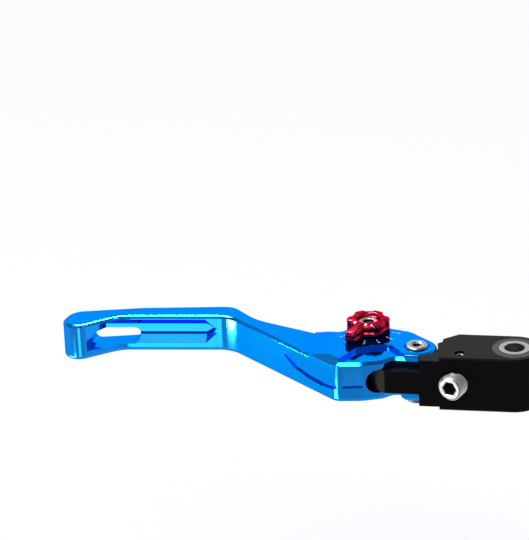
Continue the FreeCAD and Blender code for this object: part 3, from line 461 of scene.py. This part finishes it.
def soften_edges(form, sharper, width):
    """Bevels, by a width in mm, every edge whose faces meet at more than this many degrees."""
    limit = math.radians(sharper)
    sharp = [edge for edge in form.edges
             if len(edge.link_faces) == 2 and edge.calc_face_angle(0) > limit]
    bmesh.ops.bevel(form, geom=sharp, offset=width * MM, offset_type="OFFSET", affect="EDGES",
                    segments=2, profile=0.5, material=-1, clamp_overlap=True)


def finish_piece(form, name, node, place, smooth=32):
    """Makes the piece that stands for a CAD node, on that node's body."""
    bmesh.ops.recalc_face_normals(form, faces=form.faces)
    mesh = bpy.data.meshes.new(name)
    form.to_mesh(mesh)
    form.free()
    mesh.transform(place)
    mesh.shade_smooth()
    mesh.set_sharp_from_angle(angle=math.radians(smooth))
    mesh.materials.append(FINISHES[node])
    piece = bpy.data.objects.new(name, mesh)
    bpy.context.scene.collection.objects.link(piece)
    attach(piece, NODES[node]["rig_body"])
    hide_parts(node)
    return piece


def ring_piece(name, node, levels, place, softness, segments=96):
    """A closed piece grown from its lowest ring, with its sharp edges broken."""
    form = bmesh.new()
    bmesh.ops.create_circle(form, cap_ends=True, segments=segments, radius=MM)
    edges = form.edges[:]
    shape_ring(form.verts, *levels[0])
    grow_rings(form, edges, levels[1:])
    soften_edges(form, sharper=30, width=softness)
    finish_piece(form, name, node, place)


def hexagon(corner):
    """The radius of a hexagon's side at each angle, from the radius of its corners."""
    side = math.radians(60)
    flat = corner * math.cos(side / 2)
    return lambda angle: flat / math.cos((angle % side) - side / 2)


def make_pivot_screw():
    """The blade pivot's screw: a turned shank, and a head with a rounded brim and a hex socket."""
    low, high = span("blade_pivot_screw")
    shank, brim, rim, key = 3.0, 4.25, 2.4, 1.7
    head = high - 1.7
    dish = high - 0.35
    levels = [
        (low, shank - 0.4), (low + 0.4, shank), (head, shank),
        (head, brim - 0.2), (head + 0.2, brim), (high - 0.45, brim), (high, brim - 0.45),
        (high, rim), (dish, rim - 0.3), (dish, hexagon(key + 0.12)),
        (dish - 0.15, hexagon(key)), (high - 1.15, hexagon(key)),
    ]
    place = Matrix.Translation(BLADE_PIVOT)
    ring_piece("pivot_screw", "blade_pivot_screw", levels, place, softness=0.05)


def make_selector_screw():
    """The screw in the middle of the knob, with a wide head and a hex socket."""
    low, high = span("selector_screw")
    shank, brim, key = 1.45, 4.1, 2.3
    head = high - 2.0
    levels = [
        (low, shank - 0.25), (low + 0.25, shank), (head, shank),
        (head, brim - 0.15), (head + 0.15, brim), (high - 0.4, brim), (high, brim - 0.4),
        (high, hexagon(key + 0.2)), (high - 0.2, hexagon(key)), (high - 1.1, hexagon(key)),
    ]
    place = Matrix.Translation(SELECTOR)
    ring_piece("selector_cap_screw", "selector_screw", levels, place, softness=0.08)


def make_lock_screw():
    """The small headless screw in the top of the adapter."""
    low, high = span("adjuster_lock_screw")
    spot = middle("adjuster_lock_screw")
    shank, key = 2.0, 1.15
    levels = [
        (low, shank - 0.5), (low + 0.5, shank), (high - 0.3, shank), (high, shank - 0.25),
        (high, hexagon(key + 0.15)), (high - 0.15, hexagon(key)), (high - 2.0, hexagon(key)),
    ]
    place = Matrix.Translation((spot.x, spot.y, 0))
    ring_piece("lock_screw", "adjuster_lock_screw", levels, place, softness=0.06, segments=48)


LOBES = 6
LOBE_STEP = FULL_TURN / LOBES
LOBE_HALF_WIDTH = math.radians(20)
LOBE_FLANK = math.radians(8)
POINTER_ANGLE = math.radians(245)
POINTER_REACH = 13.9
POINTER_TIP = math.radians(8)
POINTER_FOOT_DROP = 0.2
RIDGE_FADE = math.radians(16)
RIDGE_STEEPNESS = 1.3


def make_knob():
    """The star knob: a stepped ring with five blunt lobes and one long ridged pointer."""
    low, high = span("selector_knob")

    def from_pointer(angle):
        return (angle - POINTER_ANGLE + math.pi) % FULL_TURN - math.pi

    def on_tip(angle):
        return abs(from_pointer(angle)) <= POINTER_TIP + 0.001

    def star(hub, lobe, pointer, half):
        """The outline, in mm: its hub, its lobes, the pointer's length and its half width."""
        def radius(angle):
            turn = from_pointer(angle)
            across = abs((turn + LOBE_STEP / 2) % LOBE_STEP - LOBE_STEP / 2)
            share = min(1.0, max(0.0, (LOBE_HALF_WIDTH - across) / LOBE_FLANK))
            edge = hub + (lobe - hub) * share
            if on_tip(angle):
                return pointer / math.cos(turn)
            if abs(turn) < LOBE_STEP:
                edge = max(edge, min(pointer, half / math.sin(abs(turn))))
            return edge
        return radius

    def slope(top, fall):
        """Lower along the pointer and down its flanks, and level round the ring."""
        def level(angle):
            turn = abs(from_pointer(angle))
            on_pointer = min(1.0, max(0.0, 1.6 - turn / RIDGE_FADE))
            flank = min(1.0, turn / POINTER_TIP)
            return top - fall * on_pointer * (1 + RIDGE_STEEPNESS * flank)
        return level

    def foot(level):
        """The pointer reaches nearer to the deck than the ring does."""
        return lambda angle: level - POINTER_FOOT_DROP * on_tip(angle)

    reach = POINTER_REACH
    skirt = star(7.7, 8.4, reach, 2.5)
    rim_radius, recess_radius, well_radius = 5.3, 4.9, 4.45
    levels = [
        (foot(low), star(7.2, 7.9, reach - 0.5, 2.2)),
        (foot(low + 0.35), skirt),
        (low + 1.3, skirt),
        (low + 1.7, star(7.2, 7.8, reach - 0.1, 2.2)),
        (low + 1.9, star(7.2, 8.3, reach - 0.1, 2.2)),
        (slope(high - 0.9, 0.3), star(7.2, 8.4, reach - 0.1, 2.2)),
        (slope(high - 0.4, 0.35), star(6.7, 7.8, reach - 0.7, 1.8)),
        (high, rim_radius),
        (high, recess_radius),
        (high - 0.7, well_radius),
        (low + 1.4, well_radius - 0.05),
    ]
    place = Matrix.Translation(SELECTOR)
    ring_piece("star_knob", "selector_knob", levels, place, softness=0.14, segments=180)


THREAD_PITCH = 1.25
THREAD_CREST = 4.98
THREAD_ROOT = 4.38
THREAD_STEPS = 60
ADJUSTER_KEY = 2.89


def thread_outline(form, start, turns):
    """The thread's outline along +Z, in mm: a flat crest and a flat root to each pitch."""
    profile = ((THREAD_CREST, 0.12), (THREAD_ROOT, 0.44), (THREAD_ROOT, 0.62),
               (THREAD_CREST, 0.94), (THREAD_CREST, 1.0))
    last = form.verts.new((THREAD_CREST * MM, 0, start * MM))
    for count in range(turns):
        foot = start + count * THREAD_PITCH
        for radius, share in profile:
            point = form.verts.new((radius * MM, 0, (foot + share * THREAD_PITCH) * MM))
            form.edges.new((last, point))
            last = point


def make_adjuster():
    """The set screw with its real helical thread, a chamfered end and a deep hexagon socket."""
    outer = ADJUSTER_FACE / MM
    inner = ADJUSTER_FOOT / MM
    form = bmesh.new()
    turns = math.ceil((inner - outer) / THREAD_PITCH) + 3
    thread_outline(form, outer - 2 * THREAD_PITCH, turns)
    bmesh.ops.spin(form, geom=form.verts[:] + form.edges[:], cent=(0, 0, 0), axis=(0, 0, 1),
                   dvec=(0, 0, THREAD_PITCH * MM / THREAD_STEPS), angle=FULL_TURN,
                   steps=THREAD_STEPS, use_merge=False)
    bmesh.ops.remove_doubles(form, verts=form.verts, dist=0.002 * MM)
    ends = ((outer + 0.65, -1), (inner - 0.8, 1))
    for level, side in ends:
        bmesh.ops.bisect_plane(form, geom=form.verts[:] + form.edges[:] + form.faces[:],
                               plane_co=(0, 0, level * MM), plane_no=(0, 0, side),
                               clear_outer=True)
    outer_rim, inner_rim = (
        [edge for edge in form.edges
         if edge.is_boundary and abs(edge.verts[0].co.z - level * MM) < 0.001 * MM]
        for level, _ in ends)
    outer_levels = [(outer, 4.05), (outer, hexagon(3.3)), (outer + 0.3, hexagon(ADJUSTER_KEY)),
                    (outer + 4.9, hexagon(ADJUSTER_KEY))]
    grow_rings(form, outer_rim, outer_levels)
    grow_rings(form, inner_rim, [(inner, 3.4)])
    turn = ADJUSTER_AXIS.to_track_quat("Z", "Y").to_matrix().to_4x4()
    place = Matrix.Translation(ADJUSTER_BASE) @ turn
    finish_piece(form, "set_screw", "adjuster_screw", place, smooth=25)


def soften_node(name, node, width):
    """A copy of a CAD piece whose sharp edges are broken, as tumbling and polishing leave them."""
    form = bmesh.new()
    form.from_mesh(NODES[node].data)
    bmesh.ops.remove_doubles(form, verts=form.verts, dist=0.003 * MM)
    bmesh.ops.dissolve_limit(form, angle_limit=math.radians(0.8), verts=form.verts,
                             edges=form.edges, use_dissolve_boundaries=False)
    soften_edges(form, sharper=24, width=width)
    piece = finish_piece(form, name, node, Matrix.Identity(4), smooth=40)
    shading = piece.modifiers.new("even_shading", "WEIGHTED_NORMAL")
    shading.keep_sharp = True


DIAL_START = 215
DIAL_STEP = 27
DIAL_NUMBERS = 6
NUMBER_HEIGHT = 2.3 * MM
NUMBER_DEPTH = 0.02 * MM
NUMBER_RADIUS = 12.2 * MM
TICK_RADIUS = 10.2 * MM
TICK_SIZE = (0.35 * MM, 1.2 * MM, 0.04 * MM)


def number_mesh(text):
    """A flat number, centred, as a mesh."""
    curve = bpy.data.curves.new("dial_number", "FONT")
    curve.body = text
    curve.size = NUMBER_HEIGHT
    curve.align_x = "CENTER"
    curve.align_y = "CENTER"
    curve.extrude = NUMBER_DEPTH
    holder = bpy.data.objects.new("dial_number", curve)
    mesh = bpy.data.meshes.new_from_object(holder)
    bpy.data.objects.remove(holder)
    return mesh


def make_dial_marks():
    """Numbers 1 to 6 filled in white on the deck round the knob, each with a short tick."""
    form = bmesh.new()
    for count in range(DIAL_NUMBERS):
        angle = math.radians(DIAL_START + DIAL_STEP * count)
        turn = Matrix.Rotation(angle + math.pi / 2, 4, "Z")
        out = Vector((math.cos(angle), math.sin(angle), 0))
        mesh = number_mesh(str(count + 1))
        mesh.transform(Matrix.Translation(out * NUMBER_RADIUS) @ turn)
        form.from_mesh(mesh)
        bpy.data.meshes.remove(mesh)
        tick = Matrix.Translation(out * TICK_RADIUS) @ turn @ Matrix.Diagonal((*TICK_SIZE, 1))
        bmesh.ops.create_cube(form, size=1.0, matrix=tick)
    mesh = bpy.data.meshes.new("dial_marks")
    form.to_mesh(mesh)
    form.free()
    mesh.transform(Matrix.Translation((SELECTOR.x, SELECTOR.y, DECK)))
    mesh.materials.append(WHITE_PAINT)
    marks = bpy.data.objects.new("dial_marks", mesh)
    bpy.context.scene.collection.objects.link(marks)
    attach(marks, NODES["lever_blade"]["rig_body"])


soften_node("polished_blade", "lever_blade", width=0.22)
soften_node("adapter_block", "adapter", width=0.15)
make_pivot_screw()
make_selector_screw()
make_dial_marks()
make_lock_screw()
make_knob()
make_adjuster()

# ---------------------------------------------------------------- stage, light and camera

FLOOR_DROP = 0.12
FLOOR_HALF_SIZE = 6.0
FLOOR_GLOW = 0.35
DIM_FLOOR = rgb(0.42, 0.42, 0.43)
BRIGHT_FLOOR = rgb(0.95, 0.95, 0.95)
PALE_FLOOR = rgb(0.93, 0.93, 0.93)
WHITE = rgb(1.0, 1.0, 1.0)


def make_floor():
    """A pale floor, well below the lever. The metal mirrors a darker stretch of it in front."""
    form = bmesh.new()
    bmesh.ops.create_grid(form, x_segments=1, y_segments=1, size=FLOOR_HALF_SIZE)
    mesh = bpy.data.meshes.new("floor")
    form.to_mesh(mesh)
    form.free()
    mesh.transform(Matrix.Translation((0, 0, -FLOOR_DROP)))
    floor = bpy.data.objects.new("floor", mesh)
    bpy.context.scene.collection.objects.link(floor)
    material = bpy.data.materials.new("pale_floor")
    tree = Tree(material)
    path = tree.node("ShaderNodeLightPath")
    _, y, _ = tree.separate(tree.place())
    stretch = tree.mix(y.above(edge=-0.12, width=0.25), DIM_FLOOR, BRIGHT_FLOOR)
    mirrored = tree.node("ShaderNodeEmission", None, {"Color": stretch, "Strength": 1.0})[0]
    plain = tree.node("ShaderNodeBsdfDiffuse", None, {"Color": PALE_FLOOR})[0]
    white = tree.node("ShaderNodeEmission", None, {"Color": WHITE, "Strength": FLOOR_GLOW})[0]
    lit = tree.node("ShaderNodeAddShader", None, {0: plain, 1: white})[0]
    seen = tree.node("ShaderNodeMixShader", None, {0: path[CAMERA_RAY], 1: plain, 2: lit})[0]
    mixed = tree.node("ShaderNodeMixShader", None, {0: path[GLOSSY_RAY], 1: seen, 2: mirrored})[0]
    tree.node("ShaderNodeOutputMaterial", None, {"Surface": mixed})
    mesh.materials.append(material)


DIM_FRONT = rgb(0.30, 0.30, 0.31)
DIM_CEILING = rgb(0.22, 0.22, 0.23)
PLAIN_LIGHT = rgb(0.62, 0.62, 0.63)


def make_world():
    """White to the eye; the metal mirrors a bright backdrop, a dim ceiling and a dim front."""
    world = bpy.data.worlds.new("studio")
    bpy.context.scene.world = world
    tree = Tree(world)
    path = tree.node("ShaderNodeLightPath")
    direction = tree.node("ShaderNodeTexCoord")[WORLD_DIRECTION]
    _, y, z = tree.separate(direction)
    behind = y.above(edge=0.2, width=0.5)
    ceiling = z.above(edge=0.62, width=0.2)
    room = tree.mix(behind, DIM_FRONT, WHITE)
    mirrored = tree.mix(ceiling, room, DIM_CEILING)
    plain = tree.mix(path[GLOSSY_RAY], PLAIN_LIGHT, mirrored)
    seen = (path[CAMERA_RAY] + path[TRANSMISSION_RAY]).math("MINIMUM", 1.0)
    colour = tree.mix(seen, plain, WHITE)
    light = tree.node("ShaderNodeBackground", None, {"Color": colour, "Strength": 1.0})[0]
    tree.node("ShaderNodeOutputWorld", None, {"Surface": light})


CAMERA_AZIMUTH = math.radians(10.0)
CAMERA_ELEVATION = math.radians(24.0)
CAMERA_ROLL = math.radians(-2.3)
CAMERA_DISTANCE = 1.1
CAMERA_LENS = 192.1
PIVOT_TOP = Vector((0, 0, 0.0175))
PIVOT_RIGHT = 0.09546
PIVOT_DOWN = 0.02408


def make_camera():
    """The camera, turned a little to the right of the front and looking down. Gives its place.

    The top of the main pivot lies a little below and well to the right of the view's middle.
    """
    back = Vector((math.sin(CAMERA_AZIMUTH) * math.cos(CAMERA_ELEVATION),
                   -math.cos(CAMERA_AZIMUTH) * math.cos(CAMERA_ELEVATION),
                   math.sin(CAMERA_ELEVATION)))
    level = Vector((math.cos(CAMERA_AZIMUTH), math.sin(CAMERA_AZIMUTH), 0))
    rise = back.cross(level)
    right = level * math.cos(CAMERA_ROLL) + rise * math.sin(CAMERA_ROLL)
    up = rise * math.cos(CAMERA_ROLL) - level * math.sin(CAMERA_ROLL)
    place = PIVOT_TOP - right * PIVOT_RIGHT + up * PIVOT_DOWN + back * CAMERA_DISTANCE
    camera = bpy.data.cameras.new("camera")
    camera.lens = CAMERA_LENS
    camera.clip_end = 20
    holder = bpy.data.objects.new("camera", camera)
    turn = Matrix((right, up, back)).transposed().to_4x4()
    holder.matrix_world = Matrix.Translation(place) @ turn
    bpy.context.scene.collection.objects.link(holder)
    bpy.context.scene.camera = holder
    return place


VIEWPOINT = make_camera()
make_floor()
make_world()


def make_card(name, place, aim, size, radiance, lights_all=False):
    """A soft box of one brightness, facing a point. Most only show as reflections."""
    width, depth = size
    lamp = bpy.data.lights.new(name, "AREA")
    lamp.shape = "RECTANGLE"
    lamp.size = width
    lamp.size_y = depth
    lamp.energy = radiance * math.pi * width * depth
    holder = bpy.data.objects.new(name, lamp)
    towards = Vector(place) - Vector(aim)
    turn = towards.to_track_quat("Z", "Y").to_matrix().to_4x4()
    holder.matrix_world = Matrix.Translation(place) @ turn
    holder.visible_camera = False
    holder.visible_diffuse = lights_all
    bpy.context.scene.collection.objects.link(holder)


def mirror_card(name, point, normal, distance, size, radiance):
    """A card that the facet with this normal, at this point, mirrors towards the viewpoint."""
    point = Vector(point)
    facing = Vector(normal).normalized()
    view = (VIEWPOINT - point).normalized()
    outward = 2 * facing.dot(view) * facing - view
    make_card(name, point + outward * distance, point, size, radiance)


LEVER_MIDDLE = (-0.08, 0.01, 0)
FINGER_EDGE = (-0.145, 0.026, 0.0066)
FINGER_FRONT = (-0.14, 0.022, 0.0)
BEND_FACE = (-0.1146, 0.0255, 0.005)
LEDGE_EDGE = (-0.062, -0.012, 0.006)
TONGUE_END = (-0.054, -0.009, -0.002)
make_card("overhead_soft_box", (-0.3, -0.5, 1.0), LEVER_MIDDLE, size=(0.9, 0.6), radiance=1.2,
          lights_all=True)
mirror_card("edge_card", FINGER_EDGE, normal=(0.05, -0.40, 0.92), distance=0.25,
            size=(0.12, 0.062), radiance=160)
mirror_card("finger_card", FINGER_FRONT, normal=(0.06, -1, 0), distance=0.2,
            size=(0.06, 0.03), radiance=1.7)
mirror_card("bend_card", BEND_FACE, normal=(-0.44, -0.9, 0), distance=0.13,
            size=(0.08, 0.006), radiance=120)
mirror_card("ledge_card", LEDGE_EDGE, normal=(0, -0.7, 0.7), distance=0.1,
            size=(0.05, 0.03), radiance=8)
mirror_card("tongue_card", TONGUE_END, normal=(-0.35, -0.94, 0), distance=0.05,
            size=(0.018, 0.016), radiance=9)
bpy.context.scene.view_settings.view_transform = "Standard"
